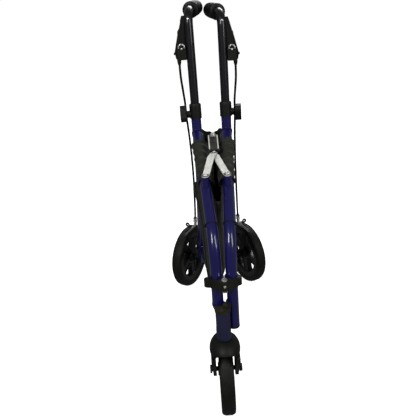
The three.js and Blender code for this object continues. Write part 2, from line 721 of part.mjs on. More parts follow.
// The bag hangs between the folded frames, narrow at the front and wider at the back, open along its top.
function bagGeometry() {
  const outline = (inset, lift) => new THREE.Shape([
    new THREE.Vector2(62 + inset, 285 + inset), new THREE.Vector2(80 + inset, 268 + inset),
    new THREE.Vector2(300 - inset, 258 + inset), new THREE.Vector2(318 - inset, 275 + inset),
    new THREE.Vector2(318 - inset, 550 + lift), new THREE.Vector2(222 + inset, 550 + lift),
    new THREE.Vector2(222 + inset, 490 + lift), new THREE.Vector2(62 + inset, 458 + lift),
  ]);
  const upright = (shape) => slab(shape, -40, 40).rotateX(Math.PI / 2).rotateZ(Math.PI / 2);
  const wedge = (wall) => slab(new THREE.Shape([
    new THREE.Vector2(-7 + wall, 58), new THREE.Vector2(7 - wall, 58),
    new THREE.Vector2(24 - wall, 330), new THREE.Vector2(-24 + wall, 330),
  ]), 240, 640);
  return cut(overlap(upright(outline(0, 0)), wedge(0)), overlap(upright(outline(5, 30)), wedge(4)));
}

function bagSleeve() {
  const along0 = v(0, 0, FRONT_BEND_Z);
  const end = v(0, MID_TUBE_END.back, MID_TUBE_END.z);
  const at = (share) => along0.clone().lerp(end, share);
  const run = end.clone().sub(along0);
  const length = run.length();
  return along(ring(13.4, TUBE_R + GAP, 0.5 * length, 0.87 * length, 20), run, at(0));
}

// ---- assembly ------------------------------------------------------------------------------------------

function sideGroup(side, name) {
  const handle = new THREE.Group();
  handle.add(...handlePieces(side, name));
  handle.position.copy(topDown().multiplyScalar(HANDLE_DROP[side]));
  const frame = new THREE.Group();
  frame.add(
    handle,
    ...sideFrame(side, name),
    piece(`${name}_clamp_collar`, clampCollar(side), BLACK_PLASTIC),
    piece(`${name}_clamp_knob`, knobGeometry(side), BLACK_PLASTIC),
    ...rearWheelPieces(side, name),
    ...braceMount(side, name),
    piece(`${name}_bag_sleeve`, bagSleeve(), FABRIC),
  );
  frame.rotation.z = -side * SPLAY;
  frame.position.set(side * TUBE_X, TUBE_Y, 0);
  return frame;
}

const walker = new THREE.Group();
walker.add(
  sideGroup(RIGHT, "right"),
  sideGroup(LEFT, "left"),
  ...foldHinge(),
  ...stem(),
  ...caster(),
  ...foldingBrace(),
  piece("bag", bagGeometry(), FABRIC),
);

// The origin is the middle of the footprint.
const extent = new THREE.Box3().setFromObject(walker, true);
walker.position.y = -(extent.min.y + extent.max.y) / 2;

export default walker;
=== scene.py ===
"""Looks for the folded three-wheeled walker: paint, smooth tubes, wheels, grips, bag and cables."""

import math

import bmesh
import bpy
from mathutils import Matrix, Vector, noise


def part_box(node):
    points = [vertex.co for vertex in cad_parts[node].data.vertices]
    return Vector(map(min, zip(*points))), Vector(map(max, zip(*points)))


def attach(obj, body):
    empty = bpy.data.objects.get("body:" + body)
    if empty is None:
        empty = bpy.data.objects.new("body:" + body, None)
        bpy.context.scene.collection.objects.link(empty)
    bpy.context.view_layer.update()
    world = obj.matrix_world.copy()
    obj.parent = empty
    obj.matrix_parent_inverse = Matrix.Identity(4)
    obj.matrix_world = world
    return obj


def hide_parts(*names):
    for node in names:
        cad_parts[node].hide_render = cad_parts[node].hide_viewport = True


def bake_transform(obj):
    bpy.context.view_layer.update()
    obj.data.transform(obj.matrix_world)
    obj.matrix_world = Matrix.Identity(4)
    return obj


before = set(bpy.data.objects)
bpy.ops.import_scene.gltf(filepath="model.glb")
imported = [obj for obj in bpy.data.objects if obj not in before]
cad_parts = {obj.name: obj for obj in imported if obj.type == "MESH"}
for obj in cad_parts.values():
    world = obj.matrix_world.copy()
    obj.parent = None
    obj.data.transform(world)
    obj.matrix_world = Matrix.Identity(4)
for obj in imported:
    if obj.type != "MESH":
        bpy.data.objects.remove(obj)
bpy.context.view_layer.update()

# ---- dimensions, in metres, as the CAD has them --------------------------------------------------------

MM = 0.001
ORIGIN_Y = -0.2520635
RIGHT = -1
LEFT = 1
SIDES = ((RIGHT, "right"), (LEFT, "left"))

TUBE_X = 0.0145
TUBE_Y = -0.037
SPLAY = math.radians(3.9)
OPENING = math.radians(27)
TUBE_R = 0.0111
FRONT_BEND_R = 0.075
LEG_BEND_R = 0.080
FRAME_FOOT_Z = {RIGHT: 0.2915, LEFT: 0.239}
STRUT_R = 0.008
HANDLE_R = 0.0095
FRONT_BEND_Z = 0.421
MID_TUBE_END = (0.270, 0.559)
UPRIGHT_TOP = (0.280, 0.616)
UPRIGHT_BEND = (0.264, 0.465)
LEG_END = (0.539, 0.084)
STRUT_FRONT_Z = 0.324
STRUT_REAR = (0.488, 0.152)
LEAN = math.atan2(UPRIGHT_TOP[0] - UPRIGHT_BEND[0], UPRIGHT_TOP[1] - UPRIGHT_BEND[1])
HANDLE_FOOT_Z = 0.545
GRIP_Z = 0.811
GRIP_TURN = math.radians(12)
GRIP_R = 0.0165
HANDLE_DROP = {RIGHT: 0.0, LEFT: 0.0075}
HANDLE_BEND = 0.032
LEVER_Z = 0.738
LEVER_FOOT = UPRIGHT_BEND[0] + (LEVER_Z - UPRIGHT_BEND[1]) * math.tan(LEAN)
PIN_Y = -0.054
WHEEL_R = 0.095
TYRE_W = 0.030
RIM_R = 0.077
AXLE_R = 0.005
STEM_X = -0.007
REAR_WHEEL_OUT = 0.0416
CABLE_R = 0.0025
LOCK_TILT = 0.37
LOCK_LENGTH = 0.050
SPOKES = 5
REAR_WHEEL_TURN = {RIGHT: math.radians(37), LEFT: math.radians(-17.5)}

# ---- camera --------------------------------------------------------------------------------------------

CAMERA_AT = (-0.021, -0.804 + ORIGIN_Y, 0.8245)
CAMERA_PITCH = math.radians(23.43)
CAMERA_ROLL = math.radians(-4.04)
CAMERA_LENS = 40.9


def add_camera():
    forward = Vector((0, math.cos(CAMERA_PITCH), -math.sin(CAMERA_PITCH)))
    level = Vector((1, 0, 0))
    upward = level.cross(forward)
    across = level * math.cos(CAMERA_ROLL) + upward * math.sin(CAMERA_ROLL)
    upright = across.cross(forward)
    data = bpy.data.cameras.new("camera")
    data.lens = CAMERA_LENS
    data.sensor_width = 36
    camera = bpy.data.objects.new("camera", data)
    turn = Matrix((across, upright, -forward)).transposed().to_4x4()
    camera.matrix_world = Matrix.Translation(CAMERA_AT) @ turn
    bpy.context.scene.collection.objects.link(camera)
    bpy.context.scene.camera = camera


add_camera()

# ---- material helpers ----------------------------------------------------------------------------------


class Paint:
    """A principled material and the few nodes that give it colour variation, roughness and bump."""

    def __init__(self, name, colour, roughness, metallic=0.0):
        self.material = bpy.data.materials.new(name)
        self.material.use_nodes = True
        self.nodes = self.material.node_tree.nodes
        self.links = self.material.node_tree.links
        self.shader = self.nodes["Principled BSDF"]
        self.shader.inputs["Base Color"].default_value = (*colour, 1)
        self.shader.inputs["Roughness"].default_value = roughness
        self.shader.inputs["Metallic"].default_value = metallic
        self.shader.inputs["Specular IOR Level"].default_value = 0.27
        self.place = self.nodes.new("ShaderNodeTexCoord").outputs["Object"]
        self.bump_before = None

    def noise(self, scale, detail=4.0, roughness=0.55, stretch=(1, 1, 1)):
        texture = self.nodes.new("ShaderNodeTexNoise")
        texture.inputs["Scale"].default_value = scale
        texture.inputs["Detail"].default_value = detail
        texture.inputs["Roughness"].default_value = roughness
        self.links.new(self.stretched(stretch), texture.inputs["Vector"])
        return texture.outputs["Fac"]

    def stretched(self, stretch):
        mapping = self.nodes.new("ShaderNodeMapping")
        mapping.inputs["Scale"].default_value = stretch
        self.links.new(self.place, mapping.inputs["Vector"])
        return mapping.outputs["Vector"]

    def wave(self, scale, direction):
        texture = self.nodes.new("ShaderNodeTexWave")
        texture.bands_direction = direction
        texture.inputs["Scale"].default_value = scale
        self.links.new(self.place, texture.inputs["Vector"])
        return texture.outputs["Fac"]

    def ramp(self, fac, low, high, dark, light):
        ramp = self.nodes.new("ShaderNodeValToRGB")
        ramp.color_ramp.elements[0].position = low
        ramp.color_ramp.elements[1].position = high
        ramp.color_ramp.elements[0].color = (*dark, 1)
        ramp.color_ramp.elements[1].color = (*light, 1)
        self.links.new(fac, ramp.inputs["Fac"])
        return ramp.outputs["Color"]

    def between(self, fac, low, high):
        span = self.nodes.new("ShaderNodeMapRange")
        span.inputs["To Min"].default_value = low
        span.inputs["To Max"].default_value = high
        self.links.new(fac, span.inputs["Value"])
        return span.outputs["Result"]

    def over(self, fac, under, colour):
        """The colour laid over an output where fac is high."""
        mix = self.nodes.new("ShaderNodeMix")
        mix.data_type = "RGBA"
        self.links.new(fac, mix.inputs[0])
        self.links.new(under, mix.inputs[6])
        mix.inputs[7].default_value = (*colour, 1)
        return mix.outputs[2]

    def colour(self, output):
        self.links.new(output, self.shader.inputs["Base Color"])

    def roughness(self, output):
        self.links.new(output, self.shader.inputs["Roughness"])

    def bump(self, height, depth, strength=1.0):
        bump = self.nodes.new("ShaderNodeBump")
        bump.inputs["Distance"].default_value = depth
        bump.inputs["Strength"].default_value = strength
        self.links.new(height, bump.inputs["Height"])
        if self.bump_before:
            self.links.new(self.bump_before, bump.inputs["Normal"])
        self.bump_before = bump.outputs["Normal"]
        self.links.new(self.bump_before, self.shader.inputs["Normal"])

    def edges(self, low, high):
        geometry = self.nodes.new("ShaderNodeNewGeometry")
        return self.ramp(geometry.outputs["Pointiness"], low, high, (0, 0, 0), (1, 1, 1))


def shaded(colour, factor):
    return tuple(channel * factor for channel in colour)


def glossy_paint(name, dark, light, glint, roughness, coat):
    """Sprayed metallic lacquer: cloudy base, fine specks painted in the glint colour as painted glints,
    orange peel and a clear coat.
    """
    paint = Paint(name, dark, roughness)
    paint.shader.inputs["Coat Weight"].default_value = coat
    paint.shader.inputs["Coat Roughness"].default_value = 0.07
    body = paint.ramp(paint.noise(14, 3), 0.3, 0.75, dark, light)
    # Fine specks lightened to the glint colour: painted glints standing in for the sparkle of the flakes.
    painted_glints = paint.ramp(paint.noise(2600, 1), 0.66, 0.76, (0, 0, 0), (1, 1, 1))
    paint.colour(paint.over(painted_glints, body, glint))
    paint.roughness(paint.between(paint.noise(60, 6), roughness * 0.8, roughness * 1.3))
    paint.bump(paint.noise(240, 2), 0.00002)
    return paint.material


def dull_paint():
    """Matt powder coat of the caster housing, scuffed lighter."""
    paint = Paint("stem_paint", (0.02, 0.02, 0.058), 0.5)
    scuffed = paint.ramp(paint.noise(30, 6), 0.3, 0.7, (0.014, 0.014, 0.044), (0.027, 0.027, 0.074))
    paint.colour(scuffed)
    paint.roughness(paint.between(paint.noise(90, 6), 0.38, 0.62))
    paint.bump(paint.noise(400, 3), 0.00008)
    return paint.material


def black_plastic(name, tint, smooth=0.42, rough=0.64):
    """Moulded plastic with a fine texture, worn paler along its edges."""
    plastic = Paint(name, tint, smooth)
    body = plastic.ramp(plastic.noise(40, 5), 0.35, 0.7, tint, shaded(tint, 1.8))
    plastic.colour(plastic.over(plastic.edges(0.52, 0.62), body, shaded(tint, 3.5)))
    plastic.roughness(plastic.between(plastic.noise(120, 6), smooth, rough))
    plastic.bump(plastic.noise(1500, 2), 0.00010)
    return plastic.material


def rubber(name, dark, dust, smooth, rough):
    """Rubber with a dusty bloom in patches."""
    skin = Paint(name, dark, rough)
    skin.colour(skin.ramp(skin.noise(26, 8, 0.7), 0.42, 0.78, dark, dust))
    skin.roughness(skin.between(skin.noise(80, 5), smooth, rough))
    skin.bump(skin.noise(1000, 4), 0.00016)
    return skin.material


def zinc(name, colour, metallic):
    """Plated steel, brushed along its length and mottled."""
    plate = Paint(name, colour, 0.32, metallic)
    plate.colour(plate.ramp(plate.noise(110, 8, 0.7), 0.32, 0.66, shaded(colour, 0.7), colour))
    plate.roughness(plate.between(plate.noise(700, 3, stretch=(1, 0.08, 1)), 0.2, 0.42))
    plate.bump(plate.noise(900, 3, stretch=(1, 0.1, 1)), 0.00005)
    return plate.material


def woven(name, dark, light):
    """Nylon cloth: warp and weft threads, soft creases and faded high spots."""
    cloth = Paint(name, dark, 0.85)
    cloth.shader.inputs["Sheen Weight"].default_value = 0.12
    cloth.shader.inputs["Sheen Roughness"].default_value = 0.4
    weave = cloth.nodes.new("ShaderNodeMath")
    weave.operation = "MULTIPLY"
    cloth.links.new(cloth.wave(460, "Y"), weave.inputs[0])
    cloth.links.new(cloth.wave(460, "Z"), weave.inputs[1])
    shade = cloth.ramp(cloth.noise(22, 6, 0.65), 0.3, 0.75, dark, light)
    cloth.colour(cloth.over(weave.outputs[0], shade, shaded(light, 1.5)))
    cloth.roughness(cloth.between(cloth.noise(90, 4), 0.68, 0.92))
    cloth.bump(weave.outputs[0], 0.00016)
    cloth.bump(cloth.noise(60, 6, 0.6), 0.0008, 0.6)
    return cloth.material


# The third colour of each lacquer is its painted glint, laid on the fine specks.
BLUE = glossy_paint("blue_paint", (0.0040, 0.0030, 0.064), (0.0078, 0.0058, 0.108),
                    (0.03, 0.03, 0.24), 0.3, 0.9)
GLOSS_BLACK = glossy_paint("gloss_black", (0.0030, 0.0032, 0.0042), (0.0052, 0.0056, 0.0080),
                           (0.016, 0.018, 0.035), 0.34, 0.45)
DULL = dull_paint()
BLACK = black_plastic("black_plastic", (0.0038, 0.0038, 0.0031))
OLIVE = black_plastic("olive_plastic", (0.0078, 0.0080, 0.0048))
CAP_OLIVE = black_plastic("cap_olive", (0.016, 0.016, 0.0075))
HUB = black_plastic("hub_plastic", (0.0036, 0.0036, 0.0034), 0.2, 0.4)
TYRE = rubber("tyre_rubber", (0.0050, 0.0050, 0.0042), (0.014, 0.0138, 0.011), 0.42, 0.75)
GRIP = rubber("grip_rubber", (0.0045, 0.0045, 0.0048), (0.011, 0.011, 0.012), 0.34, 0.6)
ZINC = zinc("zinc", (0.78, 0.79, 0.78), 0.75)
# Near white, non-metallic copy of zinc: its brightness is painted highlight on the plated parts.
LIT_ZINC = zinc("lit_zinc", (0.98, 0.97, 0.90), 0.0)
# Darkened copy of zinc: painted shade, used inside the lock channel and round the brace screws.
SHADED_ZINC = zinc("shaded_zinc", (0.075, 0.075, 0.068), 0.5)
FABRIC = woven("bag_fabric", (0.0080, 0.0080, 0.0064), (0.032, 0.032, 0.025))
WEBBING = woven("bag_webbing", (0.012, 0.0122, 0.0085), (0.030, 0.030, 0.022))

# ---- mesh helpers --------------------------------------------------------------------------------------


def piece(name, vertices, faces, material, body, replaced=(), slot=None, smooth=40):
    """A mesh object in the row frame that rides on a CAD body and stands for the CAD nodes named."""
    mesh = bpy.data.meshes.new(name)
    mesh.from_pydata([tuple(v) for v in vertices], [], faces)
    mesh.validate()
    work = bmesh.new()
    work.from_mesh(mesh)
    bmesh.ops.remove_doubles(work, verts=work.verts, dist=1e-6)
    bmesh.ops.recalc_face_normals(work, faces=work.faces)
    limit = math.radians(smooth)
    for face in work.faces:
        face.smooth = True
    for edge in work.edges:
        if len(edge.link_faces) == 2 and edge.calc_face_angle(0) > limit:
            edge.smooth = False
    work.to_mesh(mesh)
    work.free()
    mesh.materials.append(material)
    made = bpy.data.objects.new(name, mesh)
    bpy.context.scene.collection.objects.link(made)
    if body:
        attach(made, body)
    if replaced:
        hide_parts(*replaced)
    return made


def merged(*shapes):
    """Several (vertices, faces) shapes as one."""
    vertices, faces = [], []
    for shape_vertices, shape_faces in shapes:
        start = len(vertices)
        vertices += list(shape_vertices)
        faces += [tuple(index + start for index in face) for face in shape_faces]
    return vertices, faces


def circle(radius, sides):
    return [(radius * math.cos(2 * math.pi * i / sides), radius * math.sin(2 * math.pi * i / sides))
            for i in range(sides)]


def swept(path, outline, side=Vector((1, 0, 0)), scale=None):
    """Carries a closed outline along a path without twisting, and caps both ends."""
    count = len(outline)
    last = len(path) - 1
    tangents = [(path[min(i + 1, last)] - path[max(i - 1, 0)]).normalized() for i in range(len(path))]
    across = (side - tangents[0] * side.dot(tangents[0])).normalized()
    vertices, faces = [], []
    for i, point in enumerate(path):
        across = (across - tangents[i] * across.dot(tangents[i])).normalized()
        upward = tangents[i].cross(across)
        size = scale(i / last) if scale else 1
        vertices += [point + across * a * size + upward * b * size for a, b in outline]
    for i in range(last):
        for k in range(count):
            a, b = i * count + k, i * count + (k + 1) % count
            faces.append((a, b, b + count, a + count))
    faces.append(tuple(range(count))[::-1])
    faces.append(tuple(last * count + k for k in range(count)))
    return vertices, faces


def turned(profile, axis, at, segments=48):
    """Solid of revolution from (radius, distance along the axis) corners."""
    turn = Vector((0, 0, 1)).rotation_difference(axis.normalized()).to_matrix()
    vertices, faces = [], []
    for k in range(segments):
        angle = 2 * math.pi * k / segments
        for radius, along in profile:
            local = Vector((radius * math.cos(angle), radius * math.sin(angle), along))
            vertices.append(turn @ local + at)
    count = len(profile)
    for k in range(segments):
        for i in range(count - 1):
            a = k * count + i
            b = ((k + 1) % segments) * count + i
            faces.append((a, b, b + 1, a + 1))
    return vertices, faces


def bent_path(corners, radius, step=math.radians(5)):
    """Corner points joined by straights, with an arc at each inner corner."""
    path = [corners[0]]
    for before, corner, after in zip(corners, corners[1:], corners[2:]):
        inward = (before - corner).normalized()
        outward = (after - corner).normalized()
        half = inward.angle(outward) / 2
        reach = radius / math.tan(half)
        centre = corner + (inward + outward).normalized() * (radius / math.sin(half))
        start = corner + inward * reach - centre
        end = corner + outward * reach - centre
        sweep = start.angle(end)
        steps = max(3, round(sweep / step))
        for k in range(steps + 1):
            angle = sweep * k / steps
            spoke = (start * math.sin(sweep - angle) + end * math.sin(angle)) / math.sin(sweep)
            path.append(centre + spoke)
    path.append(corners[-1])
    return path


def smooth_path(points, steps):
    """Catmull-Rom curve through the points, in evenly spaced steps."""
    padded = [points[0] * 2 - points[1], *points, points[-1] * 2 - points[-2]]
    fine = []
    for a, b, c, d in zip(padded, padded[1:], padded[2:], padded[3:]):
        for k in range(12):
            t = k / 12
            fine.append(0.5 * (b * 2 + (c - a) * t + (a * 2 - b * 5 + c * 4 - d) * t * t
                               + (b * 3 - a - c * 3 + d) * t ** 3))
    fine.append(points[-1])
    lengths = [0.0]
    for a, b in zip(fine, fine[1:]):
        lengths.append(lengths[-1] + (b - a).length)
    path, k = [], 0
    for i in range(steps + 1):
        want = lengths[-1] * i / steps
        while k < len(fine) - 2 and lengths[k + 1] < want:
            k += 1
        share = (want - lengths[k]) / max(lengths[k + 1] - lengths[k], 1e-9)
        path.append(fine[k].lerp(fine[k + 1], min(max(share, 0), 1)))
    return path


# ---- places on the walker ------------------------------------------------------------------------------


def row(x, y, z):
    """A point given from the front axle, in the row frame."""
    return Vector((x, y + ORIGIN_Y, z))


def on_frame(side, lateral, back, z):
    """A point given in a side frame's own plane, in the row frame. Lateral is measured outwards."""
    x = side * (TUBE_X + lateral * math.cos(SPLAY) + back * math.sin(SPLAY))
    y = TUBE_Y - lateral * math.sin(SPLAY) + back * math.cos(SPLAY)
    return row(x, y, z)


def frame_direction(side, outward, back, up):
    """A direction given in a side frame's own plane, in the row frame."""
    return on_frame(side, outward, back, up) - on_frame(side, 0, 0, 0)


def upright_point(side, z, lateral=0.0):
    return on_frame(side, lateral, UPRIGHT_BEND[0] + (z - UPRIGHT_BEND[1]) * math.tan(LEAN), z)


def leg_point(side, z, lateral=0.0):
    share = (UPRIGHT_BEND[1] - z) / (UPRIGHT_BEND[1] - LEG_END[1])
    return on_frame(side, lateral, UPRIGHT_BEND[0] + share * (LEG_END[0] - UPRIGHT_BEND[0]), z)


def middle_tube(side, share):
    """A place part of the way up the straight middle tube."""
    back, top = MID_TUBE_END
    return on_frame(side, 0, back * share, FRONT_BEND_Z + (top - FRONT_BEND_Z) * share)


def middle_tube_direction(side):
    return frame_direction(side, 0, MID_TUBE_END[0], MID_TUBE_END[1] - FRONT_BEND_Z).normalized()


def rear_axis(side):
    toe = OPENING + SPLAY
    return frame_direction(side, math.cos(toe), math.sin(toe), 0)


def handle_place(side, place):
    """A place on a handle, lowered along the upright by how far that handle is pushed in."""
    return place + frame_direction(side, 0, -math.sin(LEAN), -math.cos(LEAN)) * HANDLE_DROP[side]


# ---- frame tubes ---------------------------------------------------------------------------------------


def weld_bead(joint, run, radius, post, body, name):
    """Rippled fillet along the curve where a tube running into a post meets the post's round side."""
    across = run.cross(post).normalized()
    upward = run.cross(across).normalized()
    square = across.cross(post).normalized()
    square *= math.copysign(1, square.dot(run))
    post_radius = TUBE_R + 0.0004
    vertices, faces = [], []
    around, section = 64, 8
    for i in range(around):
        angle = 2 * math.pi * i / around
        spoke = across * math.cos(angle) + upward * math.sin(angle)
        depth = math.sqrt(max(post_radius ** 2 - (radius * math.cos(angle)) ** 2, 0))
        back = (depth + spoke.dot(square) * radius) / square.dot(run)
        size = 0.0016 * (1 + 0.12 * math.sin(angle * 16))
        for k in range(section):
            turn = 2 * math.pi * k / section
            out = radius + size * math.cos(turn)
            vertices.append(joint - run * back + spoke * out + run * size * math.sin(turn))
    for i in range(around):
        for k in range(section):
            a = i * section + k
            b = i * section + (k + 1) % section
            c = ((i + 1) % around) * section
            faces.append((a, b, c + (k + 1) % section, c + k))
    piece(name, vertices, faces, BLUE, body, slot="paint")


def screw(name, at, facing, radius, body):
    """Domed screw head with a round recess."""
    profile = [(0.0, 0.30), (0.34, 0.30), (0.42, 0.62), (0.66, 0.56), (0.90, 0.34), (1.0, 0.05), (1.0, -0.2),
               (0.0, -0.2)]
    head = turned([(r * radius, along * radius) for r, along in profile], facing, at, 24)
    piece(name, *head, ZINC, body, slot="zinc")


def tube(node, path, radius, body, material=BLUE, sides=40, slot="paint"):
    """A round tube that stands for the CAD node of the same name."""
    piece(f"{node}_look", *swept(path, circle(radius, sides)), material, body, (node,), slot)


def side_frame(side, name):
    body = f"{name}_frame"
    front = bent_path([
        on_frame(side, 0, 0, FRAME_FOOT_Z[side]),
        on_frame(side, 0, 0, FRONT_BEND_Z),
        on_frame(side, 0, *MID_TUBE_END),
    ], FRONT_BEND_R)
    leg = bent_path([
        on_frame(side, 0, *UPRIGHT_TOP),
        on_frame(side, 0, *UPRIGHT_BEND),
        on_frame(side, 0, *LEG_END),
    ], LEG_BEND_R)
    front[-1] = front[-1] - (front[-1] - front[-2]).normalized() * 0.004
    strut = [on_frame(side, 0, 0.008, STRUT_FRONT_Z - 0.0015), on_frame(side, 0, *STRUT_REAR)]
    tube(f"{name}_main_tube", front, TUBE_R, body)
    tube(f"{name}_upright_leg", leg, TUBE_R, body)
    tube(f"{name}_lower_strut", strut, STRUT_R, body, sides=28)
    run = (front[-1] - front[-2]).normalized()
    upright = (leg[1] - leg[0]).normalized()
    weld_bead(front[-1] + run * 0.0085, run, TUBE_R, upright, body, f"{name}_mid_weld")
    down = (strut[1] - strut[0]).normalized()
    weld_bead(strut[0] - down * 0.0085, -down, STRUT_R, Vector((0, 0, 1)), body, f"{name}_strut_front_weld")
    weld_bead(strut[1] + down * 0.002, down, STRUT_R, (leg[-1] - leg[-2]).normalized(), body,
              f"{name}_strut_rear_weld")


# ---- wheels --------------------------------------------------------------------------------------------


def tyre_profile():
    half = TYRE_W / 2
    corners = [(RIM_R + 0.0003, -half + 0.004)]
    for k in range(13):
        angle = -math.pi / 2 + math.pi * k / 12
        radius = WHEEL_R - 0.009 + 0.009 * max(math.cos(angle), 0) ** 0.55
        corners.append((radius, half * math.sin(angle)))
    corners.append((RIM_R + 0.0003, half - 0.004))
    corners.append(corners[0])
    return corners


BLOCK_FACES = [(0, 1, 2, 3), (4, 7, 6, 5), (0, 4, 5, 1), (1, 5, 6, 2), (2, 6, 7, 3), (3, 7, 4, 0)]


def tread(axis, centre):
    """Cross blocks standing barely proud round the tread, in two staggered rows."""
    turn = Vector((0, 0, 1)).rotation_difference(axis.normalized()).to_matrix()
    shapes = []
    for k in range(72):
        angle = 2 * math.pi * k / 72
        shift = 0.0042 if k % 2 else -0.0042
        corners = []
        for radius in (WHEEL_R - 0.0030, WHEEL_R - 0.0001):
            for d_angle, along in ((-0.026, -0.0036), (0.026, -0.0036), (0.026, 0.0036), (-0.026, 0.0036)):
                a = angle + d_angle
                local = Vector((radius * math.cos(a), radius * math.sin(a), shift + along))
                corners.append(turn @ local + centre)
        shapes.append((corners, BLOCK_FACES))
    return merged(*shapes)


def hub_shape(axis, centre, turn):
    """Moulded wheel: rim channel, broad ribbed spokes and a stepped boss, turned to a given angle."""
    rim = [(0.064, -0.0105), (RIM_R, -0.0115), (RIM_R, 0.0115), (0.064, 0.0105), (0.0605, 0.005),
           (0.0605, -0.005), (0.064, -0.0105)]
    boss = [(AXLE_R + 0.0003, -0.017), (0.013, -0.017), (0.0145, -0.0155), (0.017, -0.007), (0.030, -0.0055),
            (0.031, 0), (0.030, 0.0055), (0.017, 0.007), (0.0145, 0.0155), (0.013, 0.017),
            (AXLE_R + 0.0003, 0.017), (AXLE_R + 0.0003, -0.017)]
    upper = [(0.0084, 0.0132), (0.0084, 0.0102), (0.0062, 0.0080), (0.0062, -0.0080), (0.0084, -0.0102),
             (0.0084, -0.0132)]
    outline = upper + [(-a, b) for a, b in reversed(upper)]
    tilt = Vector((0, 0, 1)).rotation_difference(axis.normalized()).to_matrix()
    spokes = []
    for k in range(SPOKES):
        angle = turn + 2 * math.pi * (k + 0.5) / SPOKES
        spoke = tilt @ Vector((math.cos(angle), math.sin(angle), 0))
        path = [centre + spoke * (0.022 + 0.043 * i / 8) for i in range(9)]
        spokes.append(swept(path, outline, axis, scale=lambda share: 1.1 - 0.16 * math.sin(math.pi * share)))
    return merged(turned(rim, axis, centre, 72), turned(boss, axis, centre, 48), *spokes)


def wheel(prefix, centre, axis, body, turn):
    tyre = merged(turned(tyre_profile(), axis, centre, 96), tread(axis, centre))
    hub = hub_shape(axis, centre, turn)
    piece(f"{prefix}_tyre_look", *tyre, TYRE, body, (f"{prefix}_tyre",), "tyre")
    piece(f"{prefix}_hub_look", *hub, HUB, body, (f"{prefix}_hub",), "black_plastic")


def brake_curl(side, name):
    """Curled end of the brake arm, standing clear of the tyre."""
    axis = rear_axis(side)
    centre = leg_point(side, WHEEL_R) + axis * 0.041 + Vector((0, 0, 0.1088))
    arc = []
    for k in range(17):
        angle = math.radians(-120 + 290 * k / 16)
        arc.append(centre + (axis * math.cos(angle) + Vector((0, 0, 1)) * math.sin(angle)) * 0.0046)
    piece(f"{name}_brake_curl", *swept(arc, circle(0.0028, 12)), BLACK, f"{name}_brake_shoe",
          slot="black_plastic", smooth=80)


def wheels():
    wheel("front", row(STEM_X, 0, WHEEL_R), Vector((1, 0, 0)), "front_wheel", 0)
    for side, name in SIDES:
        axis = rear_axis(side)
        centre = leg_point(side, WHEEL_R) + axis * REAR_WHEEL_OUT
        wheel(f"{name}_rear", centre, axis, f"{name}_rear_wheel", REAR_WHEEL_TURN[side] - side * SPLAY)


# ---- handles -------------------------------------------------------------------------------------------


def grip_direction(side):
    return frame_direction(side, -math.sin(GRIP_TURN), math.cos(GRIP_TURN), 0.04).normalized()


def grip_shape(side):
    """Rubber grip with a flange at the front, ribs under the fingers and a domed end."""
    start = handle_place(side, upright_point(side, GRIP_Z)) + grip_direction(side) * 0.040
    profile = [(HANDLE_R + 0.0003, 0), (GRIP_R - 0.001, 0), (GRIP_R + 0.0008, 0.002), (GRIP_R + 0.001, 0.005),
               (GRIP_R - 0.0008, 0.008)]
    ribs = 22
    for k in range(ribs * 4 + 1):
        along = 0.010 + 0.086 * k / (ribs * 4)
        swell = 0.0012 * math.sin(math.pi * (along - 0.010) / 0.086)
        ridge = 0.0005 * math.sin(2 * math.pi * k / 4)
        profile.append((GRIP_R - 0.0012 + swell + ridge, along))
    for k in range(9):
        angle = math.pi / 2 * k / 8
        radius = (GRIP_R - 0.002) * math.cos(angle) ** 0.8 if k < 8 else 0.0
        profile.append((radius, 0.098 + 0.014 * math.sin(angle)))
    return turned(profile, grip_direction(side), start, 48)


def handle(side, name):
    body = f"{name}_handle"
    foot = handle_place(side, upright_point(side, HANDLE_FOOT_Z))
    corner = handle_place(side, upright_point(side, GRIP_Z))
    path = bent_path([foot, corner, corner + grip_direction(side) * 0.147], HANDLE_BEND)
    tube(f"{name}_handle_tube", path, HANDLE_R, body, GLOSS_BLACK, 32, "black_paint")
    piece(f"{name}_grip_look", *grip_shape(side), GRIP, body, (f"{name}_grip",), "rubber", smooth=60)
    at, facing = bend_place(foot, corner, grip_direction(side), 0.22)
    screw(f"{name}_bend_screw", at, facing, 0.0028, body)


def bend_place(foot, corner, onward, share):
    """A place on the outside of the handle's bend, and the way it faces."""
    down = (foot - corner).normalized()
    inside = (down + onward).normalized()
    centre = corner + inside * (HANDLE_BEND / math.sin(down.angle(onward) / 2))
    first = (down.cross(onward)).cross(down).normalized() * -1
    last = (onward.cross(down)).cross(onward).normalized() * -1
    facing = first.slerp(last, share)
    return centre + facing * (HANDLE_BEND + HANDLE_R - 0.0002), facing


def cable_socket(side, name):
    """Half ring and bright screw on the front of the brake housing, and the cuff the cable leaves by."""
    body = f"{name}_handle"
    front = LEVER_FOOT - 0.0086

    def place(lateral, z, proud=0.0):
        return handle_place(side, on_frame(side, lateral, front - proud, z))

    arc = []
    for k in range(15):
        angle = math.radians(-15 + 210 * k / 14)
        arc.append(place(0.0195 + 0.0062 * math.cos(angle), 0.7415 + 0.0062 * math.sin(angle)))
    ring = swept(arc, circle(0.0016, 12))
    piece(f"{name}_socket_ring", *ring, ZINC, body, slot="zinc", smooth=80)
    facing = frame_direction(side, 0, -1, 0)
    screw(f"{name}_socket_screw", place(0.0195, 0.7385, -0.0006), facing, 0.0024, body)
    collar = [(0.0, 0.0), (0.0042, 0.0), (0.0046, 0.0012), (0.0040, 0.0070), (0.0030, 0.0105), (0.0, 0.0105)]
    exit_at = handle_place(side, on_frame(side, 0.026, 0.290, 0.7165))
    cuff = turned(collar, frame_direction(side, 0, 0.1, -1), exit_at, 24)
    piece(f"{name}_cable_cuff", *cuff, BLACK, body, slot="black_plastic")


# ---- brake cables --------------------------------------------------------------------------------------


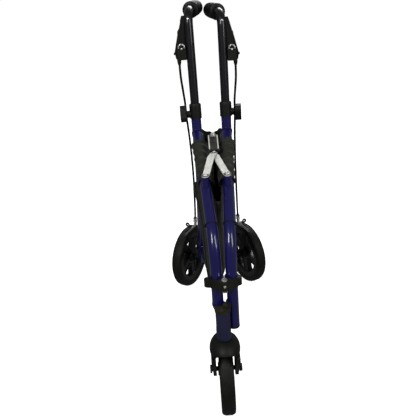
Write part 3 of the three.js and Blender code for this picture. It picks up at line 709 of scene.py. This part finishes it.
def cable_route(side):
    drop = HANDLE_DROP[side] / MM
    corners = [(26, 290, 711 - drop), (25.5, 295, 680 - drop), (23, 301, 650 - drop / 2),
               (20.5, 305, 620), (20, 304, 590), (18, 293, 556), (16.5, 280, 505), (16, 284, 450),
               (16, 318, 390), (16, 361, 330)]
    points = [on_frame(side, lateral * MM, back * MM, z * MM) for lateral, back, z in corners]
    points.append(leg_point(side, 0.270, 0.017) + Vector((0, -0.0015, 0.0026)))
    return points


def brake_cable(side, name):
    path = smooth_path(cable_route(side), 140)
    cable = piece(f"{name}_brake_cable_look", *swept(path, circle(CABLE_R, 12)), BLACK, None,
                  (f"{name}_brake_cable",), "black_plastic", smooth=80)
    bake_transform(cable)


def cable_ferrule(side, name):
    """Bright crimped sleeve on the cable where it enters the adjuster; its brightness is painted highlight in
    the lit zinc.
    """
    end = smooth_path(cable_route(side), 140)[-11:]
    body = f"{name}_frame"
    piece(f"{name}_cable_ferrule", *swept(end, circle(0.0042, 16)), LIT_ZINC, body, slot="zinc", smooth=80)
    for number, k in enumerate((0, 4)):
        crimp = swept(end[k:k + 2], circle(0.0052, 16))
        piece(f"{name}_ferrule_crimp_{number}", *crimp, ZINC, body, slot="zinc", smooth=40)


# ---- folding brace -------------------------------------------------------------------------------------


def shaded_brace_washer(name):
    """Plain washer between the brace link and its pivot screw, in the shaded zinc: a dark ring of painted
    shade round the screw head.
    """
    low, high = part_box(f"{name}_brace_screw")
    at = Vector(((low.x + high.x) / 2, (low.y + high.y) / 2, high.z - 0.00375))
    ring = turned([(0.0, 0.0), (0.0083, 0.0), (0.0083, 0.0003), (0.0, 0.0003)], Vector((0, 0, 1)), at, 32)
    piece(f"{name}_shaded_brace_washer", *ring, SHADED_ZINC, f"{name}_frame", slot="zinc")


def lock_rims():
    """Rolled edges along both sides of the lock channel, in the lit zinc as painted highlight on the flanges.
    """
    low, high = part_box("lock_channel")
    run = Vector((0, math.cos(LOCK_TILT), math.sin(LOCK_TILT)))
    for side, name in SIDES:
        x = side * (high.x - 0.0014)
        foot = Vector((x, low.y + 0.0008, high.z - LOCK_LENGTH * run.z + 0.0003))
        head = foot + run * (LOCK_LENGTH - 0.002)
        piece(f"lock_rim_{name}", *swept([foot, head], circle(0.0013, 12)), LIT_ZINC, "lock", slot="zinc",
              smooth=80)


# ---- CAD nodes that stay -------------------------------------------------------------------------------


CREASE = math.radians(32)


def soften_group():
    """Geometry nodes that weld the imported facets and shade them smooth up to a set angle."""
    group = bpy.data.node_groups.new("soften", "GeometryNodeTree")
    group.interface.new_socket("Geometry", in_out="INPUT", socket_type="NodeSocketGeometry")
    group.interface.new_socket("Geometry", in_out="OUTPUT", socket_type="NodeSocketGeometry")
    nodes, links = group.nodes, group.links
    start = nodes.new("NodeGroupInput")
    end = nodes.new("NodeGroupOutput")
    weld = nodes.new("GeometryNodeMergeByDistance")
    weld.inputs["Distance"].default_value = 1e-5
    faces = nodes.new("GeometryNodeSetShadeSmooth")
    faces.domain = "FACE"
    edges = nodes.new("GeometryNodeSetShadeSmooth")
    edges.domain = "EDGE"
    edges.inputs["Shade Smooth"].default_value = False
    angle = nodes.new("GeometryNodeInputMeshEdgeAngle")
    sharp = nodes.new("FunctionNodeCompare")
    sharp.operation = "GREATER_THAN"
    sharp.inputs[1].default_value = CREASE
    links.new(start.outputs[0], weld.inputs["Geometry"])
    links.new(weld.outputs["Geometry"], faces.inputs["Geometry"])
    links.new(faces.outputs["Geometry"], edges.inputs["Geometry"])
    links.new(angle.outputs["Unsigned Angle"], sharp.inputs[0])
    links.new(sharp.outputs["Result"], edges.inputs["Selection"])
    links.new(edges.outputs["Geometry"], end.inputs[0])
    return group


SOFTEN = soften_group()


def keep(node, material, bevel=0.0006):
    """Leaves a CAD node in place with a better material, soft shading and small rounded edges."""
    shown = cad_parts[node]
    shown.data.materials.clear()
    shown.data.materials.append(material)
    shown.modifiers.new("soften", "NODES").node_group = SOFTEN
    rounding = shown.modifiers.new("rounding", "BEVEL")
    rounding.width = bevel
    rounding.segments = 2
    rounding.limit_method = "ANGLE"
    rounding.angle_limit = CREASE
    rounding.harden_normals = True


def keep_cad_nodes():
    for _, name in SIDES:
        keep(f"{name}_hinge_half", OLIVE, 0.0012)
        keep(f"{name}_clamp_collar", BLACK)
        keep(f"{name}_clamp_knob", BLACK, 0.0016)
        keep(f"{name}_wheel_bracket", GLOSS_BLACK)
        keep(f"{name}_rear_axle", ZINC)
        keep(f"{name}_cable_adjuster", ZINC, 0.0003)
        keep(f"{name}_brace_post", BLUE)
        keep(f"{name}_brace_screw", ZINC)
        # Brace links in the lit zinc: their near white is painted highlight.
        keep(f"{name}_brace_link", LIT_ZINC, 0.0005)
        keep(f"{name}_brake_arm", BLACK, 0.0012)
        keep(f"{name}_brake_housing", BLACK, 0.0025)
        keep(f"{name}_brake_lever", BLACK, 0.0010)
    for node in ("hinge_pin", "stem_bearing", "caster_kingpin", "brace_rivet", "lock_knob"):
        keep(node, ZINC, 0.0004)
    for node in ("front_axle", "front_axle_nut"):
        keep(node, BLACK, 0.0004)
    # Lock channel in the shaded zinc: painted shade inside the channel.
    keep("lock_channel", SHADED_ZINC, 0.0004)
    keep("stem_tube", DULL)
    keep("stem_collar", CAP_OLIVE, 0.0010)
    keep("left_tube_cap", BLACK, 0.0010)
    keep("left_lower_knuckle", OLIVE, 0.0008)
    keep("caster_fork", BLACK, 0.0025)


# ---- bag -----------------------------------------------------------------------------------------------


# The pocket's middle and half length from front to back, and how far up the middle tube each sleeve sits.
BAG_MIDDLE = 0.190
BAG_REACH = 0.1275
SLEEVE_FOOT = 0.50
SLEEVE_SPAN = 0.37


def eased(share):
    share = min(max(share, 0), 1)
    return share * share * (3 - 2 * share)


def shell(name, vertices, faces, thickness, material, body, replaced, slot):
    """A cloth surface given thickness on its inner side."""
    made = piece(name, vertices, faces, material, body, replaced, slot, smooth=70)
    solid = made.modifiers.new("thickness", "SOLIDIFY")
    solid.thickness = thickness
    solid.offset = -1
    applied = bpy.data.meshes.new_from_object(made.evaluated_get(bpy.context.evaluated_depsgraph_get()))
    made.modifiers.clear()
    made.data = applied
    return made


def grid_faces(rows, columns):
    """Faces of a surface whose rows close on themselves."""
    faces = []
    for i in range(rows - 1):
        for k in range(columns):
            a, b = i * columns + k, i * columns + (k + 1) % columns
            faces.append((a, b, b + columns, a + columns))
    return faces


def bag_half_width(y):
    return 0.0066 + 0.0625 * (y - 0.058)


def bag_top(y):
    """Height of the rim: low in front under the brace and high behind it."""
    return 0.460 + 0.19 * (min(y, 0.222) - 0.062) + 0.058 * eased((y - 0.206) / 0.034)


def bag_slack(x, y):
    """How far the rim droops between the tubes, unevenly."""
    pulled_up = min(abs(x) / bag_half_width(y), 1) ** 2
    uneven = noise.noise(Vector((x * 130, y * 70, 3.1)))
    return (0.004 * uneven - 0.010 * (1 - pulled_up)) * eased((y - 0.16) / 0.08)


def bag_floor(y):
    return 0.286 - 0.026 * eased((y - 0.062) / 0.1) + 0.012 * eased((y - 0.285) / 0.033)


def bag_loop(count):
    """Even points round the pocket in plan: narrow in front, wide behind, with rounded ends."""
    fine = []
    for k in range(720):
        angle = 2 * math.pi * k / 720
        along = math.copysign(abs(math.cos(angle)) ** 0.3, -math.cos(angle))
        y = BAG_MIDDLE + BAG_REACH * along
        across = math.copysign(abs(math.sin(angle)) ** 0.3, math.sin(angle))
        fine.append(Vector((bag_half_width(y) * across, y, 0)))
    fine.append(fine[0])
    return smooth_path(fine[::12] + [fine[0]], count)[:-1]


def bag():
    """Slack nylon pocket hung between the folded frames, gathered into folds and sagging to a seam."""
    columns, rows = 150, 44
    loop = bag_loop(columns)
    vertices = []
    for i in range(rows):
        height = (i / (rows - 1)) ** 1.25
        pouch = math.sqrt(max(1 - (1 - min(height / 0.10, 1)) ** 2, 0))
        hem = 1 + 0.05 * eased((height - 0.955) / 0.012)
        for k, point in enumerate(loop):
            around = 2 * math.pi * k / columns
            gather = 0.5 + 0.5 * math.sin(11 * around + 1.6 * math.sin(2.3 * height + around) + 0.8)
            crease = noise.noise(Vector((point.x * 40, point.y * 30, height * 4)))
            y = BAG_MIDDLE + (point.y - BAG_MIDDLE) * (0.97 + 0.03 * pouch) * (1 - 0.012 * gather)
            stretched = eased((height - 0.80) / 0.15)
            flare = 1 + 0.20 * stretched * eased((y - 0.245) / 0.045)
            pull = (0.30 * gather + 0.16 * crease) * (1 - stretched)
            x = point.x * (1 - max(pull, 0)) * (0.08 + 0.92 * pouch) * hem * flare
            low, high = bag_floor(y), bag_top(y) + bag_slack(x, y)
            vertices.append(row(x, y, low + (high - low) * height))
    faces = grid_faces(rows, columns)
    pocket = shell("bag_look", vertices, faces, 0.0011, FABRIC, None, ("bag",), "fabric")
    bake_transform(pocket)


def bag_sleeve(side, name):
    """Cloth wrapped over the middle tube, wrinkled across it and falling away inwards to the pocket."""
    columns, rows = 56, 60
    inward = frame_direction(side, -1, 0, 0).normalized()
    downward = middle_tube_direction(side).cross(inward).normalized()
    if downward.z > 0:
        downward = -downward
    vertices = []
    for i in range(rows):
        share = i / (rows - 1)
        centre = middle_tube(side, SLEEVE_FOOT + SLEEVE_SPAN * share)
        for k in range(columns):
            angle = 2 * math.pi * k / columns
            fall = max(math.cos(angle - 0.9), 0) ** 2 * 0.016 * (0.55 + 0.45 * math.sin(math.pi * share))
            wrinkle = 0.0009 * math.sin(34 * share + 2.0 * math.sin(angle) + side)
            spot = Vector((share * 9, math.cos(angle) * 1.5, math.sin(angle) * 1.5 + side))
            crease = 0.0018 * noise.noise(spot)
            flare = 0.0022 * eased((share - 0.55) / 0.45) + 0.0007 * eased((abs(share - 0.5) - 0.46) / 0.02)
            radius = 0.0134 + fall + flare + wrinkle + crease
            vertices.append(centre + (inward * math.cos(angle) + downward * math.sin(angle)) * radius)
    faces = grid_faces(rows, columns)
    shell(f"{name}_bag_sleeve_look", vertices, faces, 0.0009, FABRIC, f"{name}_frame",
          (f"{name}_bag_sleeve",), "fabric")


def webbing_strap():
    """Flat strap that ties the pocket down to the foot of the right frame, with a paler bound edge."""
    corners = [(14, 170, 482), (13, 140, 466), (10, 108, 446), (8, 88, 420), (8, 66, 390), (8, 44, 360),
               (7, 24, 342), (6, 11, 331)]
    points = [on_frame(RIGHT, lateral * MM, back * MM, z * MM) for lateral, back, z in corners]
    outline = [(0.0007, -0.0085), (0.0007, 0.0085), (-0.0007, 0.0085), (-0.0007, -0.0085)]
    path = smooth_path(points, 40)
    strap = swept(path, outline, frame_direction(RIGHT, 0.35, -1, 0.2).normalized())
    piece("bag_strap", *strap, FABRIC, "right_frame", slot="fabric", smooth=30)
    edge = frame_direction(RIGHT, 1, 0.35, 0).normalized() * 0.0078 + frame_direction(RIGHT, 0, -0.0012, 0)
    binding = swept([point + edge for point in path], circle(0.0015, 10))
    piece("bag_strap_edge", *binding, WEBBING, "right_frame", slot="fabric", smooth=80)


def tube_tie(side, name, share):
    """Plastic tie drawn tight round the middle tube, with its square head and cut tail."""
    along = middle_tube_direction(side)
    centre = middle_tube(side, share)
    out = frame_direction(side, 1, 0, 0).normalized()
    band = [(TUBE_R + 0.0002, -0.0012), (TUBE_R + 0.0011, -0.0012), (TUBE_R + 0.0011, 0.0012),
            (TUBE_R + 0.0002, 0.0012), (TUBE_R + 0.0002, -0.0012)]
    head = swept([centre + out * (TUBE_R + 0.0005), centre + out * (TUBE_R + 0.0048)],
                 [(0.0028, -0.0022), (0.0028, 0.0022), (0.0022, 0.0028), (-0.0022, 0.0028), (-0.0028, 0.0022),
                  (-0.0028, -0.0022), (-0.0022, -0.0028), (0.0022, -0.0028)], along)
    made = merged(turned(band, along, centre, 40), head)
    piece(f"{name}_tube_tie", *made, BLACK, f"{name}_frame", slot="black_plastic")


# ---- floor and light -----------------------------------------------------------------------------------


def area_light(name, at, aim, size, power):
    data = bpy.data.lights.new(name, "AREA")
    data.shape = "RECTANGLE"
    data.size, data.size_y = size
    data.energy = power
    light = bpy.data.objects.new(name, data)
    light.location = at
    light.rotation_euler = (Vector(aim) - Vector(at)).to_track_quat("-Z", "Y").to_euler()
    bpy.context.scene.collection.objects.link(light)


def backdrop():
    """Pale floor that sweeps up into a bright wall and ceiling. It glows but casts no light."""
    pale = Paint("backdrop", (0.9, 0.9, 0.9), 0.9)
    pale.colour(pale.ramp(pale.noise(2, 2), 0.3, 0.7, (0.88, 0.88, 0.88), (0.92, 0.92, 0.92)))
    pale.shader.inputs["Emission Color"].default_value = (1, 1, 1, 1)
    pale.shader.inputs["Emission Strength"].default_value = 0.88
    flat, curve = 14.0, 6.0
    sweep = [(0.0, 0.0), (flat, 0.0)]
    for k in range(1, 25):
        angle = math.pi / 2 * k / 24
        sweep.append((flat + curve * math.sin(angle), curve - curve * math.cos(angle)))
    sweep += [(20.0, 14.0), (14.0, 20.0), (0.0, 22.0)]
    room = piece("backdrop", *turned(sweep, Vector((0, 0, 1)), Vector((0, 0, 0)), 96), pale.material, None)
    room.visible_diffuse = False
    room.visible_glossy = False
    room.visible_shadow = False


def studio():
    backdrop()
    area_light("key", (-1.3, -2.3, 2.7), (0, 0, 0.4), (0.7, 1.3), 52)
    area_light("fill", (1.9, -1.9, 1.9), (0, 0, 0.4), (0.8, 1.6), 28)
    area_light("back", (0.6, 2.4, 2.4), (0, 0, 0.5), (1.6, 1.0), 36)
    world = bpy.data.worlds.new("studio")
    world.use_nodes = True
    world.node_tree.nodes["Background"].inputs["Color"].default_value = (1, 1, 1, 1)
    world.node_tree.nodes["Background"].inputs["Strength"].default_value = 0.14
    bpy.context.scene.world = world
    bpy.context.scene.view_settings.view_transform = "Standard"


# ---- assembly ------------------------------------------------------------------------------------------

for frame_side, frame_name in SIDES:
    brake_cable(frame_side, frame_name)
    cable_ferrule(frame_side, frame_name)
    side_frame(frame_side, frame_name)
    handle(frame_side, frame_name)
for frame_side, frame_name in SIDES:
    cable_socket(frame_side, frame_name)
    bag_sleeve(frame_side, frame_name)
    tube_tie(frame_side, frame_name, 0.14)
    shaded_brace_washer(frame_name)
    brake_curl(frame_side, frame_name)
wheels()
lock_rims()
keep_cad_nodes()
bag()
webbing_strap()
screw("hinge_screw", row(0, PIN_Y - 0.007, 0.3410), Vector((0, -1, 0)), 0.0026, "right_frame")
studio()
